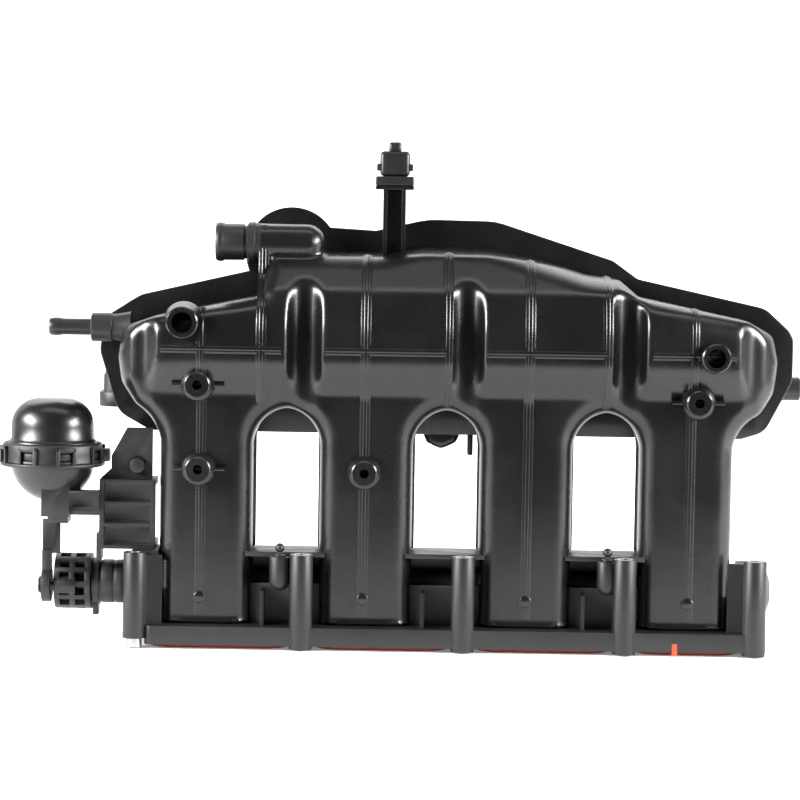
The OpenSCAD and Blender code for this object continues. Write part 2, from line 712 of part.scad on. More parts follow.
module vent_spigot() {
    x0 = vent[0][0];
    color(plastic_dark) difference() {
        union() {
            rod_along_x(6.6, [x0 - 1, -81], vent[1], vent[2]);
            rod_along_x(10.2, [x0 - 20, x0 - 1], vent[1], vent[2]);
            rod_along_x(11, [x0 - 22, x0 - 17], vent[1], vent[2]);
            rod_along_x(11.2, [x0 - 5, x0 - 1], vent[1], vent[2]);
        }
        rod_along_x(4.6, [x0 - 25, -80], vent[1], vent[2]);
        rod_along_x(7.5, [x0 - 25, x0 - 8], vent[1], vent[2]);
        rod_along_z(4, -84, vent[1] + 2, [198, vent[2]]);
    }
}
module purge_spigot() {
    color(plastic_dark) difference() {
        union() {
            rod_along_x(4.2, [-190, -168], purge[1], purge[2]);
            rod_along_x(8, [-198, -186], purge[1], purge[2]);
            rod_along_x(4.6, [-221.5, -197], purge[1], purge[2]);
            rod_along_x(5.1, [-219.5, -215.5], purge[1], purge[2]);
        }
        rod_along_x(2.6, [-225, -160], purge[1], purge[2]);
    }
}
module brake_spigot() {
    color(plastic_dark) difference() {
        union() {
            rod_along_x(4.6, [172, 192], 34, 143);
            rod_along_x(6.7, [189, 200], 34, 143);
        }
        rod_along_x(3.4, [160, 201], 34, 143);
    }
}
module harness_clip() {
    color(plastic_grey) union() {
        block([-41.5, -19.9], [4, 17], [254, 259]);
        block([-39, -22.3], [6, 15], [259, 273]);
        block([-34, -27.5], [8, 13], [273, 278]);
    }
}
module throttle_seal() {
    color(silicone) difference() {
        throttle_hole(throttle_r + 3, [throttle_z[0] - 0.8, throttle_z[0] + 2.5]);
        throttle_hole(throttle_r + 1.2, [120, 140]);
    }
}
module throttle_inserts() {
    color(brass) throttle_bolts() difference() {
        rod_along_z(4.2, 0, 0, [throttle_z[0], 138.5]);
        rod_along_z(2.5, 0, 0, [120, 145]);
    }
}
module end_cap() {
    color(plastic_dark) union() {
        rod_along_x(13, [170, 176], shaft_y, shaft_z);
        translate([174.6, shaft_y, shaft_z]) rotate([0, 90, 0]) cylinder(r1 = 16, r2 = 14.5, h = 4);
        translate([178.5, shaft_y, shaft_z]) rotate([0, 90, 0]) cylinder(r1 = 14.5, r2 = 8, h = 2.5);
        block([174.6, 179], [shaft_y - 4, shaft_y + 4], [shaft_z - 19.2, shaft_z - 12]);
    }
}
module end_cap_seal() {
    color(rubber) difference() {
        rod_along_x(14.2, [171, 174], shaft_y, shaft_z);
        rod_along_x(13, [170, 175], shaft_y, shaft_z);
    }
}
module clip_pins() {
    color(plastic_grey) for (x = short_bosses) {
        rod_along_z(1.5, x, -24, [40.2, 55]);
        translate([x, -24, 55]) sphere(r = 2.6);
        rod_along_z(3, x, -24, [50, 51.2]);
    }
}

flange_housing();
front_shell();
runner_back(0);  // runner_back_1
runner_back(1);  // runner_back_2
runner_back(2);  // runner_back_3
runner_back(3);  // runner_back_4
rear_shell();
port_gasket(0);  // port_gasket_1
port_gasket(1);  // port_gasket_2
port_gasket(2);  // port_gasket_3
port_gasket(3);  // port_gasket_4
bolt_sleeves();
flap_shaft();
flap(0);  // flap_1
flap(1);  // flap_2
flap(2);  // flap_3
flap(3);  // flap_4
flap_screws();
shaft_bushes();
bearing_cartridge();
cartridge_seal();
crank_drum();
crank_pin();
pull_rod();
actuator_bracket();
bracket_screw();
actuator_bowl();
actuator_dome();
snap_ring();
diaphragm();
diaphragm_plate();
return_spring();
vent_spigot();
purge_spigot();
brake_spigot();
harness_clip();
throttle_seal();
throttle_inserts();
end_cap();
end_cap_seal();
clip_pins();
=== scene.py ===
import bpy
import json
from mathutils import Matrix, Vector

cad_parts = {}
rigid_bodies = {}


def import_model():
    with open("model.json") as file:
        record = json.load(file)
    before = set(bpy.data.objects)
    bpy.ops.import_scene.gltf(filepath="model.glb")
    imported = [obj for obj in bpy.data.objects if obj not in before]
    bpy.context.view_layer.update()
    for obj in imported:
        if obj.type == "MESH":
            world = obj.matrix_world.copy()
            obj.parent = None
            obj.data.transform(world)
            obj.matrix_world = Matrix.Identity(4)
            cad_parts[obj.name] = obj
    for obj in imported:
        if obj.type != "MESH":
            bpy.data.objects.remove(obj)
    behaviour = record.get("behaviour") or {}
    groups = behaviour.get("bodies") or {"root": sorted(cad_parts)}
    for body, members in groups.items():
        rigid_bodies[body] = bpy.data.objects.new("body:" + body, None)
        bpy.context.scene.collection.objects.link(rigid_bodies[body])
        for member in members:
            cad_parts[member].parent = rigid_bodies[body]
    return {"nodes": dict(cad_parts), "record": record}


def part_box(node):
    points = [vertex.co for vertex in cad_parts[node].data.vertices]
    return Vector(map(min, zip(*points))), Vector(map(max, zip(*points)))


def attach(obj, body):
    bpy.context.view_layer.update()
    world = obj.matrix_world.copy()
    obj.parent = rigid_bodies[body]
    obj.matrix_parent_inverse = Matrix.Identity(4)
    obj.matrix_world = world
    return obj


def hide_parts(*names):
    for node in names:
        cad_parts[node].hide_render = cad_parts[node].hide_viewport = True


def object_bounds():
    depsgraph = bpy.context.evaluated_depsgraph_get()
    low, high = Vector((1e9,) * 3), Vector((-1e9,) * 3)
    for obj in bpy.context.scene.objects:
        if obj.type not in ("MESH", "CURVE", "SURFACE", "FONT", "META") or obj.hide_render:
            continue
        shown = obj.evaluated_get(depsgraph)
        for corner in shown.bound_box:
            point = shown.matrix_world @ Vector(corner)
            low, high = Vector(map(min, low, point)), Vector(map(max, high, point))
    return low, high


bl_info = {
    "name": "Intake Manifold",
    "version": (1, 0, 0),
    "blender": (4, 5, 0),
    "location": "View3D > Sidebar > Manifold",
    "description": "Builds the moulded shells, ribs, fittings and materials of an intake manifold",
    "category": "Add Mesh",
}

import json
import math

import bpy
import numpy as np
import openvdb
from mathutils import Matrix, Vector

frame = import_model()
CAD_BOX = [[round(v, 6) for v in corner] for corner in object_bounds()]
MM = 0.001
BODY = "manifold"

# Places that the shells, ribs and fittings share, in millimetres
PORTS = (-132.0, -44.0, 44.0, 132.0)
FRONT_BOLTS = (-169.5, -78.5, 10.0, 98.5, 169.5)
BOLT_Y = -28.0
# half width, half depth and corner radius of the runners' outside and inside
DUCT = (25.5, 21.0, 15.0)
BORE = (22.5, 18.0, 12.0)
PLATE_TOP = 12.0
HOUSING_TOP = 52.0
# y and z of the axes that run along x
SHAFT = (4.0, 31.5)
VENT = (4.0, 221.5)
PURGE = (8.0, 173.0)
SERVO = (34.0, 143.0)
# x, y and radius of the throttle neck's bore, its wall and its screws' half spacing
THROTTLE = (-162.0, 64.0, 28.5)
NECK_R = 32.5
THROTTLE_SCREWS = 25.5
# x, z and radius of the round bump of the weld rim
BUMP = (-87.7, 215.4, 25.8)
RIBBED = (-134.5, -45.0, 44.4, 133.5)
RIM_Y = 22.0
WELD = 2.6
ARCH_R = 21.0
CHEST_EDGE_R = 11.0
FOOT_R = 3.5

# Outlines seen from the front: x, z and corner radius

RIM_LINE = [
    (-166, 115, 4), (-184, 125, 14), (-195, 160, 14), (-191, 179, 10), (-172, 191, 14),
    (-104, 205.5, 2), (-98, 229, 5), (-40, 229, 30), (-12, 235.5, 40), (26, 235, 30),
    (92, 214, 8), (106, 204, 8), (178, 188.5, 14), (194, 174, 10), (194, 148, 14),
    (179, 119, 12), (166, 115, 4),
]
CHEST_LINE = [
    (-160, 131, 4), (-171, 133, 5), (-181, 143, 10), (-185, 158, 10), (-180, 174, 8),
    (-160, 181, 14), (-104, 192.5, 2), (-101, 218.5, 3), (-36, 218.5, 20), (-14, 224.3, 20),
    (22, 223.5, 20), (76, 206.5, 8), (94, 204, 4), (104, 195, 4), (164, 182.5, 10),
    (180, 174, 6), (185.5, 160, 8), (182, 143, 10), (172, 132, 6), (160, 131, 4),
]
REAR_LINE = [
    (-160, 119, 4), (-176, 127, 10), (-188, 159, 12), (-184, 176, 8), (-170, 184.5, 10),
    (-102, 199, 4), (-96, 222, 5), (-40, 222, 30), (-12, 228.5, 30), (24, 228, 30),
    (91, 207, 6), (102, 198, 6), (174, 182, 10), (187.5, 170, 8), (187.5, 150, 10),
    (174, 125, 8), (160, 119, 4),
]


# ------------------------------------------------------------------ distance fields


def rounded(corners):
    """A closed outline's points, with an arc of each corner's radius."""
    points = []
    count = len(corners)
    for i, (bx, by, r) in enumerate(corners):
        a, b, c = (Vector(corners[j % count][:2]) for j in (i - 1, i, i + 1))
        u, w = (a - b).normalized(), (c - b).normalized()
        half = u.angle(w) / 2
        if r <= 0 or half < 0.02 or half > 1.55:
            points.append((bx, by))
            continue
        centre = b + (u + w).normalized() * (r / math.sin(half))
        start, end = b + u * (r / math.tan(half)), b + w * (r / math.tan(half))
        a0 = math.atan2(*(start - centre).yx)
        turn = math.atan2(*(end - centre).yx) - a0
        turn = (turn + math.pi) % (2 * math.pi) - math.pi
        steps = max(1, math.ceil(abs(turn) / 0.16))
        points += [
            (centre.x + r * math.cos(a0 + turn * k / steps),
             centre.y + r * math.sin(a0 + turn * k / steps))
            for k in range(steps + 1)
        ]
    return points


def outline(a, b, points):
    """Signed distance from (a, b) to a closed outline, negative inside."""
    a, b = np.broadcast_arrays(a, b)
    nearest = np.full(a.shape, 1e12)
    inside = np.zeros(a.shape, bool)
    for (ax, ay), (bx, by) in zip(points[-1:] + points[:-1], points):
        ex, ey = bx - ax, by - ay
        length = ex * ex + ey * ey
        if length < 1e-12:
            continue
        wx, wy = a - ax, b - ay
        t = np.clip((wx * ex + wy * ey) / length, 0, 1)
        nearest = np.minimum(nearest, (wx - ex * t) ** 2 + (wy - ey * t) ** 2)
        if ay != by:
            inside ^= ((ay > b) != (by > b)) & (a < ax + (b - ay) * ex / ey)
    return np.where(inside, -np.sqrt(nearest), np.sqrt(nearest))


def meet(a, b, r):
    """What two fields share, with an edge of radius r."""
    u, v = a + r, b + r
    return (np.minimum(np.maximum(u, v), 0)
            + np.hypot(np.maximum(u, 0), np.maximum(v, 0)) - r)


def join(a, b, r):
    """Two fields together, with a fillet of radius r."""
    return -meet(-a, -b, r)


def slab(a, b, half_a, half_b, r):
    """Signed distance to a rounded rectangle."""
    u, v = np.abs(a) - half_a + r, np.abs(b) - half_b + r
    return np.minimum(np.maximum(u, v), 0) + np.hypot(np.maximum(u, 0), np.maximum(v, 0)) - r


def capsule(x, y, z, start, end, r):
    """Signed distance to a round-ended rod."""
    a, b = np.array(start, float), np.array(end, float)
    d = b - a
    t = np.clip(((x - a[0]) * d[0] + (y - a[1]) * d[1] + (z - a[2]) * d[2]) / d.dot(d), 0, 1)
    return np.sqrt((x - a[0] - d[0] * t) ** 2 + (y - a[1] - d[1] * t) ** 2
                   + (z - a[2] - d[2] * t) ** 2) - r


def grid(low, high, step):
    """Coordinates of the points on which a field is worked out."""
    axes = [np.arange(low[i], high[i] + step, step) for i in range(3)]
    return np.meshgrid(*axes, indexing="ij", sparse=True)


def skin(name, field, low, step):
    """The surface where a field is zero, as a new object."""
    volume = openvdb.FloatGrid(50.0)
    volume.copyFromArray(np.ascontiguousarray(field, dtype=np.float32))
    points, quads = volume.convertToQuads(0.0)
    points = (points * step + np.array(low)) * MM
    mesh = bpy.data.meshes.new(name)
    mesh.from_pydata(points.tolist(), [], quads.tolist())
    obj = bpy.data.objects.new(name, mesh)
    bpy.context.scene.collection.objects.link(obj)
    alone(obj)
    bpy.ops.object.mode_set(mode="EDIT")
    bpy.ops.mesh.select_all(action="SELECT")
    bpy.ops.mesh.normals_make_consistent(inside=False)
    bpy.ops.object.mode_set(mode="OBJECT")
    bpy.ops.object.shade_smooth()
    return obj


def silhouette(x, z):
    """Chest and runners seen from the front, with the arches between the runners."""
    chest = outline(x, z, rounded(CHEST_LINE))
    runners = np.min([np.abs(x - port) - DUCT[0] for port in PORTS], axis=0)
    runners = np.maximum(runners + 0 * z, z - 150)
    return join(chest, runners, ARCH_R)


# ------------------------------------------------------------------ modelling helpers


def alone(obj):
    """Makes one object the only one selected, and active."""
    bpy.ops.object.select_all(action="DESELECT")
    obj.select_set(True)
    bpy.context.view_layer.objects.active = obj


def settled(obj, name):
    """Names a finished object and moves its place into its mesh."""
    alone(obj)
    bpy.ops.object.transform_apply(location=True, rotation=True, scale=True)
    obj.name = obj.data.name = name
    return obj


def joined(objects, name):
    bpy.ops.object.select_all(action="DESELECT")
    for obj in objects:
        obj.select_set(True)
    bpy.context.view_layer.objects.active = objects[0]
    if len(objects) > 1:
        bpy.ops.object.join()
    return settled(objects[0], name)


def modified(obj, kind, **settings):
    """Adds a modifier and applies it."""
    alone(obj)
    modifier = obj.modifiers.new(kind.title(), kind)
    for key, value in settings.items():
        setattr(modifier, key, value)
    bpy.ops.object.modifier_apply(modifier=modifier.name)
    return obj


def bevelled(obj, width, segments=2, angle=30):
    return modified(obj, "BEVEL", width=width * MM, segments=segments, limit_method="ANGLE",
                    angle_limit=math.radians(angle), harden_normals=False)


def smooth(obj, angle=35):
    alone(obj)
    bpy.ops.object.shade_smooth_by_angle(angle=math.radians(angle))
    return obj


def cut(obj, cutters):
    for cutter in cutters:
        modified(obj, "BOOLEAN", operation="DIFFERENCE", solver="EXACT", object=cutter)
        bpy.data.objects.remove(cutter)
    return obj


def block(x, y, z):
    """A box between two limits on each axis."""
    bpy.ops.object.select_all(action="DESELECT")
    bpy.ops.mesh.primitive_cube_add(size=1)
    obj = bpy.context.object
    obj.scale = [(b - a) * MM for a, b in (x, y, z)]
    obj.location = [(a + b) / 2 * MM for a, b in (x, y, z)]
    bpy.ops.object.transform_apply(location=True, rotation=True, scale=True)
    return obj


TURNS = {"X": (0, math.pi / 2, 0), "Y": (-math.pi / 2, 0, 0), "Z": (0, 0, 0)}


def drum(axis, centre, start, end, r, r_end=None, sides=48):
    """A cylinder or cone along an axis, from start to end on it."""
    bpy.ops.object.select_all(action="DESELECT")
    place = list(centre)
    place["XYZ".index(axis)] = (start + end) / 2
    bpy.ops.mesh.primitive_cone_add(
        vertices=sides, radius1=r * MM, radius2=(r if r_end is None else r_end) * MM,
        depth=abs(end - start) * MM, location=[v * MM for v in place], rotation=TURNS[axis])
    obj = bpy.context.object
    bpy.ops.object.transform_apply(location=True, rotation=True, scale=True)
    return obj


def turned(axis, centre, profile, name, steps=64):
    """Spins a closed profile of (along, radius) pairs about an axis."""
    mesh = bpy.data.meshes.new(name)
    obj = bpy.data.objects.new(name, mesh)
    bpy.context.scene.collection.objects.link(obj)
    corners = []
    for along, r in profile:
        local = {"X": (along, r, 0), "Y": (r, along, 0), "Z": (r, 0, along)}[axis]
        base = list(centre)
        base["XYZ".index(axis)] = 0
        corners.append([(base[i] + local[i]) * MM for i in range(3)])
    mesh.from_pydata(corners, [(i, (i + 1) % len(corners)) for i in range(len(corners))], [])
    alone(obj)
    bpy.ops.object.mode_set(mode="EDIT")
    bpy.ops.mesh.select_all(action="SELECT")
    middle = list(centre)
    middle["XYZ".index(axis)] = 0
    bpy.ops.mesh.spin(steps=steps, angle=2 * math.pi, center=[v * MM for v in middle],
                      axis=[float(axis == k) for k in "XYZ"], use_auto_merge=True)
    bpy.ops.mesh.select_all(action="SELECT")
    bpy.ops.mesh.remove_doubles(threshold=2e-6)
    bpy.ops.mesh.dissolve_degenerate(threshold=1e-6)
    bpy.ops.mesh.normals_make_consistent(inside=False)
    bpy.ops.object.mode_set(mode="OBJECT")
    return obj


def extruded(points, axis, start, end, name):
    """Extrudes a closed outline: (x, z) along Y, (y, z) along X or (x, y) along Z."""
    mesh = bpy.data.meshes.new(name)
    obj = bpy.data.objects.new(name, mesh)
    bpy.context.scene.collection.objects.link(obj)
    place = {"X": lambda p: (start, p[0], p[1]), "Y": lambda p: (p[0], start, p[1]),
             "Z": lambda p: (p[0], p[1], start)}[axis]
    mesh.from_pydata([[v * MM for v in place(p)] for p in points], [],
                     [list(range(len(points)))])
    alone(obj)
    bpy.ops.object.mode_set(mode="EDIT")
    bpy.ops.mesh.select_all(action="SELECT")
    move = [0.0, 0.0, 0.0]
    move["XYZ".index(axis)] = (end - start) * MM
    bpy.ops.mesh.extrude_region_move(TRANSFORM_OT_translate={"value": move})
    bpy.ops.mesh.select_all(action="SELECT")
    bpy.ops.mesh.remove_doubles(threshold=1e-6)
    bpy.ops.mesh.normals_make_consistent(inside=False)
    bpy.ops.object.mode_set(mode="OBJECT")
    return obj


def copied(node, name):
    """A clean copy of a CAD node's mesh, its flat faces made whole again."""
    source = frame["nodes"][node]
    obj = bpy.data.objects.new(name, source.data.copy())
    bpy.context.scene.collection.objects.link(obj)
    obj.data.materials.clear()
    alone(obj)
    bpy.ops.object.mode_set(mode="EDIT")
    bpy.ops.mesh.select_all(action="SELECT")
    bpy.ops.mesh.remove_doubles(threshold=2e-6)
    bpy.ops.mesh.dissolve_limited(angle_limit=math.radians(0.6))
    bpy.ops.object.mode_set(mode="OBJECT")
    return obj


def strip(path, name, width=3.0, flare=1.6, sink=1.2, height=2.0):
    """A rib along a path of (point, outward, sideways) triples, with flared feet."""
    section = [(-width / 2 - flare, -sink), (-width / 2 - flare, 0.05),
               (-width / 2 - 0.25, 0.75), (-width / 2 + 0.1, height - 0.35),
               (-width / 2 + 0.55, height), (width / 2 - 0.55, height),
               (width / 2 - 0.1, height - 0.35), (width / 2 + 0.25, 0.75),
               (width / 2 + flare, 0.05), (width / 2 + flare, -sink)]
    verts, faces, n = [], [], len(section)
    for point, out, side in path:
        verts += [tuple((point + side * a + out * b) * MM) for a, b in section]
    for i in range(len(path) - 1):
        for k in range(n):
            m = (k + 1) % n
            faces.append((i * n + k, i * n + m, (i + 1) * n + m, (i + 1) * n + k))
    faces.append(tuple(range(n)))
    faces.append(tuple(reversed(range((len(path) - 1) * n, len(path) * n))))
    mesh = bpy.data.meshes.new(name)
    mesh.from_pydata(verts, [], faces)
    obj = bpy.data.objects.new(name, mesh)
    bpy.context.scene.collection.objects.link(obj)
    alone(obj)
    bpy.ops.object.mode_set(mode="EDIT")
    bpy.ops.mesh.select_all(action="SELECT")
    bpy.ops.mesh.normals_make_consistent(inside=False)
    bpy.ops.object.mode_set(mode="OBJECT")
    return obj


def dressed(obj, material, body=BODY, stands_for=()):
    """Gives a finished piece its material, its body and the CAD nodes it stands for."""
    obj.data.materials.clear()
    obj.data.materials.append(material)
    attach(obj, body)
    if stands_for:
        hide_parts(*stands_for)
    return obj


# ------------------------------------------------------------------ materials


def linear(colour):
    """An sRGB hex colour as linear values."""
    parts = [int(colour.lstrip("#")[i:i + 2], 16) / 255 for i in (0, 2, 4)]
    return tuple(v / 12.92 if v <= 0.04045 else ((v + 0.055) / 1.055) ** 2.4
                 for v in parts) + (1.0,)


def add(tree, kind, settings=None, **links):
    """Adds a node with its settings, and links its inputs from other nodes' outputs."""
    item = tree.nodes.new(kind)
    for key, value in (settings or {}).items():
        if key in item.inputs:
            item.inputs[key].default_value = value
        else:
            setattr(item, key, value)
    for key, source in links.items():
        tree.links.new(source, item.inputs[key.replace("_", " ")])
    return item


def started(name):
    """A material and its empty node tree, or no tree if it has been made already."""
    if name in bpy.data.materials:
        return bpy.data.materials[name], None
    material = bpy.data.materials.new(name)
    material.use_nodes = True
    material.node_tree.nodes.clear()
    return material, material.node_tree


def moulded(name, dark, light, rough, spread, grain=0.09, bumps=0.35, coat=0.0, wave=0.0):
    """Injection-moulded plastic: clouded colour, uneven gloss, fibre specks near the skin."""
    material, tree = started(name)
    if tree is None:
        return material
    where = add(tree, "ShaderNodeTexCoord").outputs["Object"]
    # flow clouds some 30 mm across, and fibre specks under half a millimetre
    cloud = add(tree, "ShaderNodeTexNoise", {"Scale": 32.0, "Detail": 4.0, "Roughness": 0.55},
                Vector=where)
    speck = add(tree, "ShaderNodeTexNoise", {"Scale": 2200.0, "Detail": 2.0}, Vector=where)
    tone = add(tree, "ShaderNodeMix", {"data_type": "RGBA"})
    tree.links.new(cloud.outputs["Fac"], tone.inputs["Factor"])
    tone.inputs[6].default_value = linear(dark)
    tone.inputs[7].default_value = linear(light)
    gloss = add(tree, "ShaderNodeMapRange",
                {"From Min": 0.3, "From Max": 0.7, "To Min": rough - spread,
                 "To Max": rough + spread}, Value=cloud.outputs["Fac"])
    relief = add(tree, "ShaderNodeBump", {"Strength": grain, "Distance": 0.00012},
                 Height=speck.outputs["Fac"])
    normal = relief.outputs["Normal"]
    if bumps:
        sink = add(tree, "ShaderNodeTexNoise", {"Scale": 70.0, "Detail": 1.0}, Vector=where)
        relief = add(tree, "ShaderNodeBump", {"Strength": bumps, "Distance": 0.00035},
                     Height=sink.outputs["Fac"], Normal=normal)
        normal = relief.outputs["Normal"]
    shader = add(tree, "ShaderNodeBsdfPrincipled",
                 {"IOR": 1.53, "Coat Weight": coat, "Coat Roughness": 0.12},
                 Base_Color=tone.outputs[2], Roughness=gloss.outputs["Result"], Normal=normal)
    add(tree, "ShaderNodeOutputMaterial", Surface=shader.outputs["BSDF"])
    return material


def metal(name, dark, light, rough, lines):
    """Turned or plated metal: fine tool lines round it and a mottled plating."""
    material, tree = started(name)
    if tree is None:
        return material
    where = add(tree, "ShaderNodeTexCoord").outputs["Object"]
    mottle = add(tree, "ShaderNodeTexNoise", {"Scale": 260.0, "Detail": 5.0}, Vector=where)
    stretched = add(tree, "ShaderNodeMapping", {"Scale": lines}, Vector=where)
    scratch = add(tree, "ShaderNodeTexNoise", {"Scale": 1.0, "Detail": 3.0},
                  Vector=stretched.outputs["Vector"])
    tone = add(tree, "ShaderNodeMix", {"data_type": "RGBA"})
    tree.links.new(mottle.outputs["Fac"], tone.inputs["Factor"])
    tone.inputs[6].default_value = linear(dark)
    tone.inputs[7].default_value = linear(light)
    gloss = add(tree, "ShaderNodeMapRange",
                {"From Min": 0.3, "From Max": 0.7, "To Min": rough - 0.08,
                 "To Max": rough + 0.1}, Value=scratch.outputs["Fac"])
    relief = add(tree, "ShaderNodeBump", {"Strength": 0.12, "Distance": 0.0001},
                 Height=scratch.outputs["Fac"])
    shader = add(tree, "ShaderNodeBsdfPrincipled", {"Metallic": 1.0},
                 Base_Color=tone.outputs[2], Roughness=gloss.outputs["Result"],
                 Normal=relief.outputs["Normal"])
    add(tree, "ShaderNodeOutputMaterial", Surface=shader.outputs["BSDF"])
    return material


def nylon():
    # Glass-filled nylon 6, injection moulded: near black, satin, with soft long highlights
    look = bpy.context.scene.manifold_look
    return moulded("Nylon_shell", look.nylon_dark, look.nylon_light, look.nylon_roughness, 0.04,
                   bumps=0.2)


def nylon_rough():
    # The same nylon with a spark-eroded mould finish: greyer and duller, highlights spread wide
    return moulded("Nylon_housing", "#0e0e0f", "#141415", 0.46, 0.06, grain=0.3)


def nylon_grey():
    # Nylon 66 with more glass: the fibres lift to the skin and grey it
    return moulded("Nylon_bracket", "#0f0f10", "#171718", 0.46, 0.07, grain=0.3)


def pbt_gloss():
    # PBT polyester from a polished mould: black with sharp highlights
    return moulded("PBT_dome", "#0b0b0c", "#111112", 0.3, 0.05, grain=0.03, bumps=0.12,
                   coat=0.06)


def silicone_orange():
    # Pressed silicone rubber: saturated orange, dull, slightly dusty
    return moulded("Silicone_seal", "#b23a18", "#cc4c24", 0.62, 0.08, grain=0.25)


def rubber_black():
    # Moulded nitrile rubber: black and dull
    return moulded("Nitrile_rubber", "#141414", "#1e1e1e", 0.7, 0.06, grain=0.4)


def zinc_steel():
    # Cold-headed steel, zinc plated and blue passivated
    return metal("Zinc_steel", "#9aa0a8", "#c4c9cf", 0.3, (900.0, 900.0, 60.0))


def brass():
    # Turned and knurled brass
    return metal("Turned_brass", "#a8823e", "#cda65a", 0.28, (900.0, 60.0, 900.0))


# ------------------------------------------------------------------ settings


class ManifoldLook(bpy.types.PropertyGroup):
    """Finish of the moulded shells"""

    nylon_dark: bpy.props.StringProperty(
        name="Dark tone", description="sRGB hex colour of the shells where they are darkest",
        default="#0b0b0c")
    nylon_light: bpy.props.StringProperty(
        name="Light tone", description="sRGB hex colour of the shells where they are lightest",
        default="#121213")
    nylon_roughness: bpy.props.FloatProperty(
        name="Roughness", description="Roughness of the shells' surface", default=0.27,
        min=0.1, max=0.9, subtype="FACTOR")


class ManifoldShape(bpy.types.PropertyGroup):
    """Sizes of the moulded details"""

    shell_step: bpy.props.FloatProperty(
        name="Shell detail", description="Spacing of the points on the moulded shells",
        default=0.00145, min=0.001, max=0.004, unit="LENGTH")
    rib_width: bpy.props.FloatProperty(
        name="Rib width", description="Width of the ribs on the front shell",
        default=0.0024, min=0.002, max=0.004, unit="LENGTH")
    rib_height: bpy.props.FloatProperty(
        name="Rib height", description="Height of the ribs above the front shell",
        default=0.001, min=0.0008, max=0.0025, unit="LENGTH")


class ManifoldStudio(bpy.types.PropertyGroup):
    """Camera and light"""

    distance: bpy.props.FloatProperty(
        name="Camera distance", description="From the camera to the front of the manifold",
        default=1.5, min=0.6, max=3.0, unit="LENGTH")
    elevation: bpy.props.FloatProperty(
        name="Camera elevation", description="Angle of the camera above level",
        default=math.radians(4.0), min=0.0, max=1.2, subtype="ANGLE")
    key_power: bpy.props.FloatProperty(
        name="Side light", description="Power of each side light, in watts",
        default=16.0, min=1.0, max=200.0)


def front_field(x, y, z):
    """Outside of the front shell: plenum front, runner fronts, vent tube and tunnel cut."""
    side = rounded([
        (RIM_Y + 40, -40, 0), (-21, -40, 0), (-21, 126, 12), (-21, 140, 10), (-32, 157, 16),
        (-32, 176, 20), (-24, 196, 14), (-4, 216, 14), (20, 226.5, 0), (62, 250, 0)])
    plan = rounded([
        (190, 60, 0), (184, -8, 22), (165, -26, 26), (118, -33, 60), (-118, -33, 60),
        (-165, -26, 26), (-184, -8, 22), (-190, 60, 0)])
    field = meet(silhouette(x, z) + 0 * y, outline(y, z, side) + 0 * x, CHEST_EDGE_R)
    field = meet(field, outline(x, y, plan) + 0 * z, 8.0)
    for bolt in FRONT_BOLTS:
        slot = np.where(y > BOLT_Y, np.hypot(x - bolt, y - BOLT_Y), np.abs(x - bolt)) - 9.0
        field = meet(field, -np.maximum(slot + 0 * z, 120 - z), 3.0)
    field = join(field, capsule(x, y, z, (-107, *VENT), (-79, *VENT), 10.4), 4.0)
    # the feet of the runners flare onto the flange plate
    field = join(field, z - PLATE_TOP + 0 * x + 0 * y, FOOT_R)
    back = np.where(z + 0 * y > 129.5, y - RIM_Y + WELD, y - 0.15)
    field = np.maximum(field, back + 0 * x)
    tunnel = np.hypot(y - SHAFT[0], z - SHAFT[1]) - 9.5
    field = np.maximum(field, -(tunnel + 0 * x))
    return np.maximum(field, PLATE_TOP + 0.1 - z)


def bores(x, y):
    """The four ducts inside the runners."""
    return np.min([slab(x - port, y, *BORE) for port in PORTS], axis=0)


class MANIFOLD_OT_front_shell(bpy.types.Operator):
    """Front shell: plenum front, runner fronts, tool channels and the tube of the vent"""

    bl_idname = "manifold.front_shell"
    bl_label = "Front shell"

    def execute(self, context):
        step = context.scene.manifold_shape.shell_step / MM
        low = (-192.0, -42.0, 9.0)
        x, y, z = grid(low, (192.0, 24.0, 236.0), step)
        field = front_field(x, y, z)
        field = np.maximum(field, -np.maximum(bores(x, y) + 0 * z, z - 150))
        shell = skin("front_shell_moulding", field, low, step)
        dressed(shell, nylon(), stands_for=("front_shell",))
        return {"FINISHED"}


class MANIFOLD_OT_runner_backs(bpy.types.Operator):
    """Back halves of the runners, with their weld flanges"""

    bl_idname = "manifold.runner_backs"
    bl_label = "Runner backs"

    def execute(self, context):
        step = 1.5
        low = (-32.0, -3.0, 49.0)
        x, y, z = grid(low, (32.0, 24.0, 133.0), step)
        field = meet(silhouette(x - 44, z) + 0 * y, y - DUCT[1] + 0 * x + 0 * z, DUCT[2])
        flange = np.maximum(np.maximum(np.abs(x) - 27.2, y - 2.6), z - 119) + 0 * z
        field = join(field, flange, 1.5)
        field = np.maximum(field, 0.15 - y)
        field = np.maximum(field, np.maximum(HOUSING_TOP - z, z - 129.3))
        field = np.maximum(field, np.abs(x) - 30 + 0 * z)
        field = np.maximum(field, -slab(x, y, *BORE))
        half = skin("runner_back_moulding_1", field, low, step)
        for i, port in enumerate(PORTS):
            piece = half
            if i:
                piece = half.copy()
                piece.data = half.data.copy()
                context.scene.collection.objects.link(piece)
                piece.name = piece.data.name = f"runner_back_moulding_{i + 1}"
            piece.location.x = port * MM
        for i in range(4):
            piece = settled(bpy.data.objects[f"runner_back_moulding_{i + 1}"],
                            f"runner_back_moulding_{i + 1}")
            dressed(piece, nylon(), stands_for=(f"runner_back_{i + 1}",))
        return {"FINISHED"}


